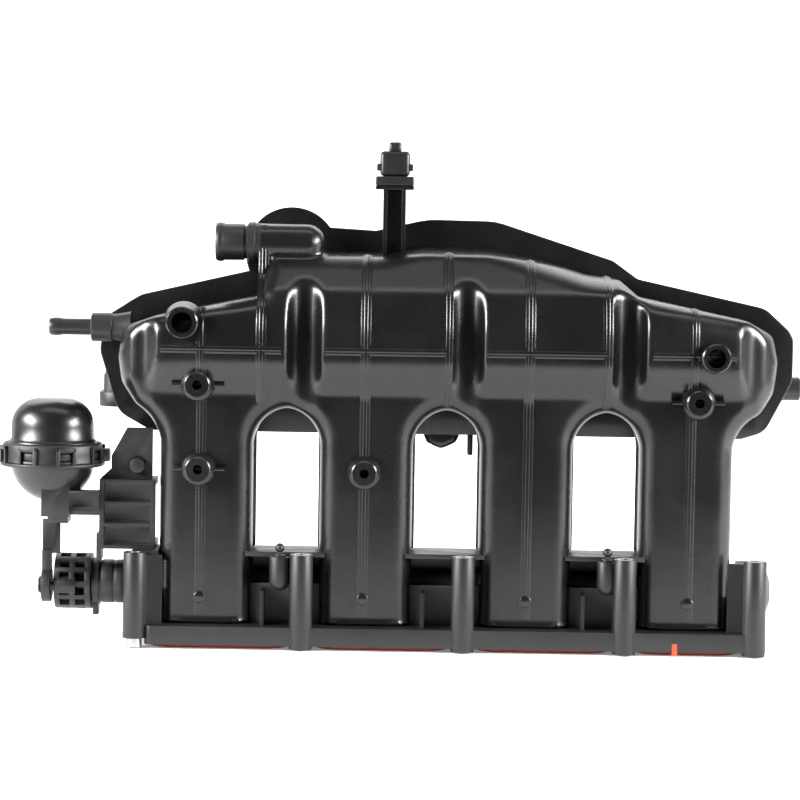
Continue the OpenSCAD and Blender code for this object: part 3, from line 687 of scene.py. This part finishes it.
def rim_points():
    """The weld rim's outline with the round bump at its upper left."""
    centre, r = Vector(BUMP[:2]), BUMP[2]
    arc = [(centre.x + r * math.cos(math.radians(a)), centre.y + r * math.sin(math.radians(a)))
           for a in range(203, 33, -6)]
    corners = [c for c in RIM_LINE if c[:2] not in ((-104, 205.5), (-98, 229))]
    left = rounded(corners)
    split = next(i for i, p in enumerate(left) if p[0] > -100 and p[1] > 200)
    return left[:split] + arc + left[split:]


class MANIFOLD_OT_rims(bpy.types.Operator):
    """Weld rims of the front and the back shell"""

    bl_idname = "manifold.rims"
    bl_label = "Weld rims"

    def execute(self, context):
        for name, start, end in (("rim_front", RIM_Y - 3, RIM_Y - 0.25),
                                 ("rim_back", RIM_Y + 0.25, RIM_Y + 3)):
            rim = extruded(rim_points(), "Y", start, end, name)
            cut(rim, [extruded(rounded([(-172, 140, 10), (-172, 172, 10), (-90, 190, 10),
                                        (-80, 205, 8), (60, 205, 10), (90, 190, 8),
                                        (172, 172, 10), (172, 140, 10)]),
                               "Y", start - 2, end + 2, "hole")])
            smooth(bevelled(rim, 1.1, 3))
            dressed(rim, nylon())
        return {"FINISHED"}


class MANIFOLD_OT_ribs(bpy.types.Operator):
    """Ribs on the front shell"""

    bl_idname = "manifold.ribs"
    bl_label = "Front ribs"

    def execute(self, context):
        shape = context.scene.manifold_shape
        width, height = shape.rib_width / MM, shape.rib_height / MM
        shell = bpy.data.objects["front_shell_moulding"]
        made = []

        def touch(start, towards):
            hit, place, normal, _ = shell.ray_cast(Vector(start) * MM, Vector(towards))
            return (place / MM, normal) if hit else None

        def upright(x, bottom):
            path = []
            z = bottom
            while z < 150:
                found = touch((x, -80, z), (0, 1, 0))
                if found:
                    path.append(found[0])
                z += 3
            middle = Vector((x, 14, 160))
            for angle in range(-12, 80, 2):
                way = Vector((0, -math.cos(math.radians(angle)), math.sin(math.radians(angle))))
                found = touch(middle + way * 120, -way)
                if found and found[0].z > path[-1].z + 1 if path else found:
                    if found[0].y < RIM_Y - 3.5:
                        path.append(found[0])
            return path

        def with_frames(path, side):
            out = []
            for i, point in enumerate(path):
                ahead = path[min(i + 1, len(path) - 1)] - path[max(i - 1, 0)]
                normal = ahead.cross(side).normalized()
                if normal.y > 0.2 and normal.z < 0.5:
                    normal = -normal
                out.append((point, normal, side))
            return out

        def relaxed(path):
            for _ in range(3):
                path = [path[0]] + [(a + b * 2 + c) / 4 for a, b, c in
                                    zip(path, path[1:], path[2:])] + [path[-1]]
            return path

        for k, (x, bottom) in enumerate(((-134.5, 17), (-102, 134), (-45, 17), (-0.4, 134),
                                         (44.4, 17), (86.5, 134), (133.5, 17))):
            path = upright(x, bottom)
            if len(path) > 3:
                rib = strip(with_frames(relaxed(path), Vector((-1, 0, 0))),
                            f"rib_{k}", width=width, height=height)
                made.append(rib)
        path, runs, x = [], [], -183.0
        while x <= 184:
            found = touch((x, -80, 164), (0, 1, 0))
            near = any(abs(x - bolt) < 11 for bolt in FRONT_BOLTS)
            if found and not near and found[0].y < RIM_Y - 4:
                path.append(found[0])
            elif len(path) > 3:
                runs.append(path)
                path = []
            else:
                path = []
            x += 2
        if len(path) > 3:
            runs.append(path)
        for k, run in enumerate(runs):
            rib = strip(with_frames(run, Vector((0, 0, 1))), f"rib_level_{k}",
                        width=width, height=height)
            made.append(rib)
        ribs = joined(made, "front_ribs")
        bpy.ops.object.mode_set(mode="EDIT")
        bpy.ops.mesh.select_all(action="SELECT")
        bpy.ops.mesh.normals_make_consistent(inside=False)
        bpy.ops.object.mode_set(mode="OBJECT")
        smooth(ribs, 50)
        dressed(ribs, nylon())
        return {"FINISHED"}


SCREW_BOSSES = ((-136.4, 144, -31, -19), (-135.6, 97.8, -31, -20), (-44.9, 97, -31, -20),
                (137, 138, -31, -19))
HOLDERS = ((-144.6, 178, 8.7, 5.65), (145.1, 163, 8.0, 5.25))


class MANIFOLD_OT_bosses(bpy.types.Operator):
    """Screw bosses and tubular bosses on the front shell"""

    bl_idname = "manifold.bosses"
    bl_label = "Front bosses"

    def execute(self, context):
        made = []
        for x, z, face, foot in SCREW_BOSSES:
            profile = [(face, 2.6), (face, 6.4), (face + 0.6, 7.1), (face + 4.5, 7.2),
                       (face + 5.0, 8.6), (face + 7, 9.3), (foot + 3, 9.8), (foot + 3, 2.6)]
            made.append(turned("Y", (x, 0, z), profile, "boss"))
            if x != -44.9:
                made.append(bevelled(block((x - 14.5, x + 14.5), (face + 5.5, foot + 3),
                                           (z - 1.1, z + 1.1)), 0.5))
        for x, z, outer, inner in HOLDERS:
            profile = [(-36, inner), (-36, outer - 0.8), (-35.2, outer), (-30, outer),
                       (-26, outer + 1.2), (-20, outer + 2.4), (-20, inner)]
            made.append(turned("Y", (x, 0, z), profile, "holder"))
        for x in RIBBED:
            made.append(turned("Y", (x, 0, 27), [(-23.6, 0), (-23.6, 2.6), (-23.2, 3.2),
                                                 (-19.5, 3.5), (-19.5, 0)], "gate"))
        bosses = smooth(joined(made, "front_bosses"), 40)
        dressed(bosses, nylon())
        return {"FINISHED"}


class MANIFOLD_OT_rear_shell(bpy.types.Operator):
    """Back shell of the plenum with the throttle neck, its ribs and the throttle flange"""

    bl_idname = "manifold.rear_shell"
    bl_label = "Back shell"

    def execute(self, context):
        step = 1.7
        low = (-204.0, 20.0, 100.0)
        x, y, z = grid(low, (192.0, 104.0, 234.0), step)
        side = rounded([(-20, 117, 0), (-20, 240, 0), (24, 231, 0), (52, 224, 24),
                        (72, 204, 28), (80, 176, 30), (78, 142, 26), (60, 120, 20),
                        (24, 117, 0)])
        plan = rounded([(-192, -20, 0), (-184, 52, 26), (-158, 76, 30), (-100, 82, 40),
                        (100, 82, 40), (156, 76, 30), (183, 52, 26), (191, -20, 0)])
        field = meet(outline(x, z, rounded(REAR_LINE)) + 0 * y, outline(y, z, side) + 0 * x,
                     14.0)
        field = meet(field, outline(x, y, plan) + 0 * z, 16.0)
        ribs = np.min([np.abs(x - at) for at in (-110, -66, -22, 22, 66, 110)], axis=0) - 1.4
        ribs = np.minimum(ribs + 0 * z, np.abs(z - 145) - 1.4)
        ribs = np.minimum(ribs, np.abs(z - 178) - 1.4)
        across, back, bore = THROTTLE
        neck = np.hypot(x - across, y - back) - NECK_R
        neck = meet(neck + 0 * z, z - 190 + 0 * x + 0 * y, 26.0)
        neck = np.maximum(neck, 130 - z)
        body = join(field, neck, 10.0)
        body = np.minimum(body, np.maximum(body - 1.8, ribs + 0 * y))
        hang = outline(x, z, rounded([(-16, 125, 0), (12, 125, 0), (6, 110, 3),
                                      (-2.5, 106, 6), (-11, 110, 3)]))
        hang = np.maximum(hang + 0 * y, np.abs(y - 33) - 7)
        body = join(body, hang, 3.0)
        body = np.maximum(body, RIM_Y + WELD - y)
        throat = np.maximum(np.hypot(x - across, y - back) - bore + 0 * z, z - 176)
        body = np.maximum(body, -throat)
        shell = skin("rear_shell_moulding", body, low, step)
        dressed(shell, nylon(), stands_for=("rear_shell",))
        plate = extruded(rounded([(-197, 29, 12), (-197, 99, 12), (-127, 99, 12),
                                  (-127, 29, 12)]), "Z", 127, 135, "throttle_flange")
        screws = [(across + sx * THROTTLE_SCREWS, back + sy * THROTTLE_SCREWS, 0)
                  for sx in (-1, 1) for sy in (-1, 1)]
        tools = [drum("Z", (across, back, 0), 120, 140, bore, sides=96)]
        tools += [drum("Z", screw, 120, 140, 4.2) for screw in screws]
        cut(plate, tools)
        bevelled(plate, 0.7, 2)
        parts = [plate]
        parts += [turned("Z", screw, [(134, 0), (134, 7), (145, 6.8), (146, 5.8), (146, 0)],
                         "collar") for screw in screws]
        parts.append(bevelled(block((12.5, 15.5), (26, 40), (103, 122)), 0.5))
        flange = smooth(joined(parts, "throttle_flange"), 40)
        dressed(flange, nylon_rough())
        return {"FINISHED"}


class MANIFOLD_OT_post(bpy.types.Operator):
    """Post on the top of the plenum and the clip on it"""

    bl_idname = "manifold.post"
    bl_label = "Post and clip"

    def execute(self, context):
        parts = [block((-36, -25.4), (8, 13), (216, 254)),
                 block((-37, -34.6), (4.5, 17), (216, 254)),
                 block((-26.8, -24.4), (4.5, 17), (216, 254)),
                 block((-41.3, -20), (4.2, 17), (251.6, 254))]
        post = smooth(joined([bevelled(p, 0.6) for p in parts], "clip_post"))
        dressed(post, nylon())
        body = bevelled(block((-39, -22.4), (6, 15), (259, 273)), 2.4, 4)
        tip = bevelled(block((-34.2, -27.2), (8, 13), (272, 278)), 1.6, 3)
        bar = bevelled(block((-41.4, -20), (4, 17), (254, 259)), 0.9, 3)
        hooks = [bevelled(block(across, (6.5, 14.5), (262, 266)), 0.8, 2)
                 for across in ((-40.8, -37.5), (-23.9, -20.6))]
        clip = smooth(joined([body, tip, bar] + hooks, "harness_clip_moulding"))
        dressed(clip, nylon_grey(), stands_for=("harness_clip",))
        return {"FINISHED"}


class MANIFOLD_OT_spigots(bpy.types.Operator):
    """Hose spigots at the left and right ends"""

    bl_idname = "manifold.spigots"
    bl_label = "Spigots"

    def execute(self, context):
        vent = turned("X", (0, *VENT), [
            (-129, 7.6), (-129, 9.9), (-128.4, 10.5), (-126.6, 10.9), (-125, 10.6),
            (-124.2, 10.1), (-113.5, 10.0), (-113.1, 9.2), (-111.9, 9.2), (-111.5, 10.1),
            (-111, 11.1), (-107.4, 11.2), (-107, 10.6), (-104, 10.5), (-104, 7.6)], "vent")
        dressed(smooth(settled(vent, "vent_spigot_moulding")), nylon_rough(),
                stands_for=("vent_spigot",))
        purge = turned("X", (0, *PURGE), [
            (-221.4, 2.6), (-221.4, 4.3), (-220.8, 4.7), (-219.4, 5.0), (-216.6, 5.1),
            (-215.2, 4.8), (-213.6, 4.6), (-198.2, 4.6), (-198, 7.4), (-197.4, 8.0),
            (-186.6, 8.0), (-186, 7.4), (-184, 7.4), (-176, 9), (-176, 2.6)], "purge")
        dressed(smooth(settled(purge, "purge_spigot_moulding")), nylon_grey(),
                stands_for=("purge_spigot",))
        brake = turned("X", (0, *SERVO), [
            (174, 3.4), (174, 9.4), (188, 9.4), (189, 8.4), (189, 6.7), (196, 6.6), (199.3, 6.7),
            (200, 6.1), (200, 3.4)], "brake")
        dressed(smooth(settled(brake, "brake_spigot_moulding")), nylon_grey(),
                stands_for=("brake_spigot",))
        return {"FINISHED"}


class MANIFOLD_OT_actuator(bpy.types.Operator):
    """Vacuum actuator: dome, snap ring and bowl"""

    bl_idname = "manifold.actuator"
    bl_label = "Actuator"

    def execute(self, context):
        low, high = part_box("actuator_bowl")
        cx, cy = (low.x + high.x) / 2 / MM, (low.y + high.y) / 2 / MM
        centre = (cx, cy, 0)
        arc = [(119 + 15 * math.sin(math.radians(a)), 7.5 + 15.2 * math.cos(math.radians(a)))
               for a in range(0, 91, 10)]
        dome = turned("Z", centre, [(108, 20.5), (108, 24.4), (110.2, 24.4), (111, 23.6),
                                    (112.2, 22.8)] + arc + [(134, 0), (131, 0), (131, 6),
                                                            (127, 15), (119, 20.5)], "dome")
        tube = turned("Y", (cx, 0, 122), [(cy + 19, 1.2), (cy + 19, 3.4), (cy + 23, 2.6),
                                          (cy + 31.5, 2.6), (cy + 32, 3.2), (cy + 36.5, 2.4),
                                          (cy + 36.7, 1.2)], "tube", 32)
        dome = smooth(joined([dome, tube], "actuator_dome_moulding"), 50)
        dressed(dome, pbt_gloss(), stands_for=("actuator_dome",))
        bowl_arc = [(100 - 23 * math.cos(math.radians(a)), 23 * math.sin(math.radians(a)))
                    for a in range(12, 91, 6)]
        inner = [(100 - 21 * math.cos(math.radians(a)), 21 * math.sin(math.radians(a)))
                 for a in range(90, 6, -6)]
        bowl = turned("Z", centre, [(77.5, 2.9), (77.5, 4.78)] + bowl_arc +
                      [(101, 24.6), (107, 24.6), (107, 21)] + inner + [(79.2, 2.9)], "bowl")
        dressed(smooth(settled(bowl, "actuator_bowl_moulding"), 45), pbt_gloss(),
                stands_for=("actuator_bowl",))
        ring = turned("Z", centre, [(97, 24.9), (97, 28.3), (97.6, 28.8), (99, 28.8),
                                    (99.6, 27.4), (104, 27.2), (108.6, 27.2), (109.6, 26.6),
                                    (110, 25.6), (110, 24.9)], "ring")
        windows = []
        for k in range(8):
            window = block((20, 33), (-4.8, 4.8), (100.8, 105.6))
            window.location = (cx * MM, cy * MM, 0)
            window.rotation_euler.z = math.radians(22.5 + 45 * k)
            windows.append(window)
        cut(ring, windows)
        bevelled(ring, 0.35, 2, 50)
        parts = [ring]
        for k in range(8):
            angle = math.radians(22.5 + 45 * k)
            # a tongue in each window, under a loop that stands proud of the ring
            shapes = [((24.2, 26.6), (-3.6, 3.6), (101.4, 105.0)),
                      ((26.6, 28.6), (-5.6, -3.6), (98.6, 108.4)),
                      ((26.6, 28.6), (3.6, 5.6), (98.6, 108.4)),
                      ((26.6, 28.6), (-5.6, 5.6), (106.2, 108.4))]
            for shape in shapes:
                tab = bevelled(block(*shape), 0.4)
                tab.location = (cx * MM, cy * MM, 0)
                tab.rotation_euler.z = angle
                parts.append(tab)
        ear = bevelled(block((cx + 24.5, cx + 31.8), (cy - 4.5, cy + 4.5), (99.5, 106.5)), 0.9)
        parts.append(ear)
        for obj in parts:
            alone(obj)
            bpy.ops.object.transform_apply(location=True, rotation=True, scale=True)
        ring = smooth(joined(parts, "snap_ring_moulding"), 40)
        dressed(ring, nylon_rough(), stands_for=("snap_ring",))
        return {"FINISHED"}


class MANIFOLD_OT_softened(bpy.types.Operator):
    """Housing, bracket, crank and other crisp mouldings, with the soft edges of a mould"""

    bl_idname = "manifold.softened"
    bl_label = "Crisp mouldings"

    def execute(self, context):
        for node, width, material, slot, body in (
                ("flange_housing", 0.55, nylon_rough, "shell_plastic", BODY),
                ("actuator_bracket", 0.5, nylon_grey, "grey_plastic", BODY),
                ("crank_drum", 0.4, nylon_rough, "dark_plastic", "flap_train"),
                ("bearing_cartridge", 0.4, nylon_rough, "dark_plastic", BODY),
                ("end_cap", 0.7, nylon_rough, "dark_plastic", BODY),
                ("pull_rod", 0.35, nylon_rough, "dark_plastic", "actuator_rod"),
                ("crank_pin", 0.8, nylon_rough, "dark_plastic", "flap_train"),
                ("bracket_screw", 0.9, nylon_rough, "dark_plastic", BODY),
        ):
            piece = copied(node, node + "_moulding")
            bevelled(piece, width, 2, 28)
            smooth(piece, 32)
            dressed(piece, material(), body, stands_for=(node,))
        return {"FINISHED"}


class MANIFOLD_OT_finishes(bpy.types.Operator):
    """Materials of the pieces that keep their CAD shape"""

    bl_idname = "manifold.finishes"
    bl_label = "Finishes"

    def execute(self, context):
        record = frame["record"]
        slots = {s["node"]: s["material_slot"] for s in record["subparts"]}
        finish = {"shell_plastic": nylon, "dark_plastic": nylon_rough,
                  "grey_plastic": nylon_grey, "gloss_plastic": pbt_gloss,
                  "steel": zinc_steel, "brass": brass, "silicone": silicone_orange,
                  "rubber": rubber_black}
        for node, obj in frame["nodes"].items():
            material = finish[slots[node]]()
            if not obj.material_slots:
                raise RuntimeError(f"{node} has no material slot")
            for item in obj.material_slots:
                item.material = material
        return {"FINISHED"}


class MANIFOLD_OT_stage(bpy.types.Operator):
    """Floor, backdrop, lights and camera"""

    bl_idname = "manifold.stage"
    bl_label = "Studio"

    def execute(self, context):
        scene = context.scene
        studio = scene.manifold_studio
        floor_z = CAD_BOX[0][2]
        sweep = [(-0.36, floor_z), (1.6, floor_z)]
        sweep += [(1.6 + 0.8 * math.sin(math.radians(a)),
                   floor_z + 0.8 * (1 - math.cos(math.radians(a)))) for a in range(10, 91, 10)]
        sweep += [(2.4, 3.5)]
        verts = [(sx, y, z) for y, z in sweep for sx in (-4.0, 4.0)]
        faces = [(2 * i, 2 * i + 1, 2 * i + 3, 2 * i + 2) for i in range(len(sweep) - 1)]
        mesh = bpy.data.meshes.new("backdrop")
        mesh.from_pydata(verts, [], faces)
        floor = bpy.data.objects.new("backdrop", mesh)
        scene.collection.objects.link(floor)
        for face in mesh.polygons:
            face.use_smooth = True
        # Matt white card that also glows as painted light: the glow is faint on the floor in front
        # and full up the back wall, as if lamps lit it
        card, tree = started("White_card")
        place = add(tree, "ShaderNodeSeparateXYZ",
                    Vector=add(tree, "ShaderNodeTexCoord").outputs["Object"])
        painted_backdrop_glow = add(tree, "ShaderNodeMapRange", {"From Min": 0.1, "From Max": 0.9,
                                                "To Min": 0.2, "To Max": 1.0},
                   Value=place.outputs["Y"])
        paper = add(tree, "ShaderNodeBsdfPrincipled", {"Roughness": 0.9},
                    Emission_Strength=painted_backdrop_glow.outputs["Result"])
        paper.inputs["Base Color"].default_value = linear("#f2f2f2")
        paper.inputs["Emission Color"].default_value = linear("#ffffff")
        add(tree, "ShaderNodeOutputMaterial", Surface=paper.outputs["BSDF"])
        mesh.materials.append(card)

        world = bpy.data.worlds.new("Studio")
        scene.world = world
        world.use_nodes = True
        tree = world.node_tree
        tree.nodes.clear()
        ray = add(tree, "ShaderNodeLightPath")
        seen = add(tree, "ShaderNodeBackground", {"Color": (1, 1, 1, 1), "Strength": 1.05})
        fill = add(tree, "ShaderNodeBackground", {"Color": (1, 1, 1, 1), "Strength": 0.06})
        mix = add(tree, "ShaderNodeMixShader", {}, Fac=ray.outputs["Is Camera Ray"])
        tree.links.new(fill.outputs[0], mix.inputs[1])
        tree.links.new(seen.outputs[0], mix.inputs[2])
        add(tree, "ShaderNodeOutputWorld", Surface=mix.outputs[0])

        aim = Vector((-0.026, -0.022, 0.137))

        def panel(name, place, size, power):
            data = bpy.data.lights.new(name, "AREA")
            data.shape = "RECTANGLE"
            data.size, data.size_y = size
            data.energy = power
            light = bpy.data.objects.new(name, data)
            light.location = place
            light.rotation_euler = (aim - Vector(place)).to_track_quat("-Z", "Z").to_euler()
            scene.collection.objects.link(light)

        key = studio.key_power
        panel("left_panel", (-1.05, -0.42, 0.5), (0.4, 0.7), key * 2.3)
        panel("right_panel", (1.05, -0.42, 0.5), (0.4, 0.7), key * 2.3)
        panel("top_panel", (0.0, -0.3, 1.5), (1.5, 0.4), key * 0.3)
        panel("back_panel", (0.0, 1.3, 1.6), (2.6, 1.0), key * 1.2)

        elevation, distance = studio.elevation, studio.distance
        data = bpy.data.cameras.new("Camera")
        data.lens = 36.0 * distance / (2 * 0.2185)
        data.clip_start, data.clip_end = 0.05, 20
        camera = bpy.data.objects.new("Camera", data)
        roll = math.radians(0.9)
        back = Vector((0, -math.cos(elevation), math.sin(elevation)))
        across = Vector((1, 0, 0))
        up = back.cross(across)
        right = across * math.cos(roll) + up * math.sin(roll)
        up = up * math.cos(roll) - across * math.sin(roll)
        camera.matrix_world = Matrix.Translation(aim + back * distance) @ Matrix(
            (right, up, back)).transposed().to_4x4()
        scene.collection.objects.link(camera)
        scene.camera = camera
        scene.view_settings.view_transform = "Standard"
        scene.view_settings.look = "None"
        return {"FINISHED"}


STEPS = (
    MANIFOLD_OT_stage, MANIFOLD_OT_finishes, MANIFOLD_OT_front_shell, MANIFOLD_OT_rims,
    MANIFOLD_OT_ribs, MANIFOLD_OT_bosses, MANIFOLD_OT_runner_backs, MANIFOLD_OT_rear_shell,
    MANIFOLD_OT_post, MANIFOLD_OT_spigots, MANIFOLD_OT_actuator, MANIFOLD_OT_softened,
)


class MANIFOLD_PT_panel(bpy.types.Panel):
    bl_label = "Intake Manifold"
    bl_idname = "MANIFOLD_PT_panel"
    bl_space_type = "VIEW_3D"
    bl_region_type = "UI"
    bl_category = "Manifold"

    def draw(self, context):
        scene = context.scene
        for group in (scene.manifold_look, scene.manifold_shape, scene.manifold_studio):
            column = self.layout.column()
            for key in group.__annotations__:
                column.prop(group, key)
        for step in STEPS:
            self.layout.operator(step.bl_idname)


CLASSES = (ManifoldLook, ManifoldShape, ManifoldStudio) + STEPS + (MANIFOLD_PT_panel,)


def register():
    for item in CLASSES:
        bpy.utils.register_class(item)
    bpy.types.Scene.manifold_look = bpy.props.PointerProperty(type=ManifoldLook)
    bpy.types.Scene.manifold_shape = bpy.props.PointerProperty(type=ManifoldShape)
    bpy.types.Scene.manifold_studio = bpy.props.PointerProperty(type=ManifoldStudio)


def unregister():
    del bpy.types.Scene.manifold_look
    del bpy.types.Scene.manifold_shape
    del bpy.types.Scene.manifold_studio
    for item in reversed(CLASSES):
        bpy.utils.unregister_class(item)


def main():
    register()
    for step in STEPS:
        group, name = step.bl_idname.split(".")
        getattr(getattr(bpy.ops, group), name)()


if __name__ == "__main__":
    main()
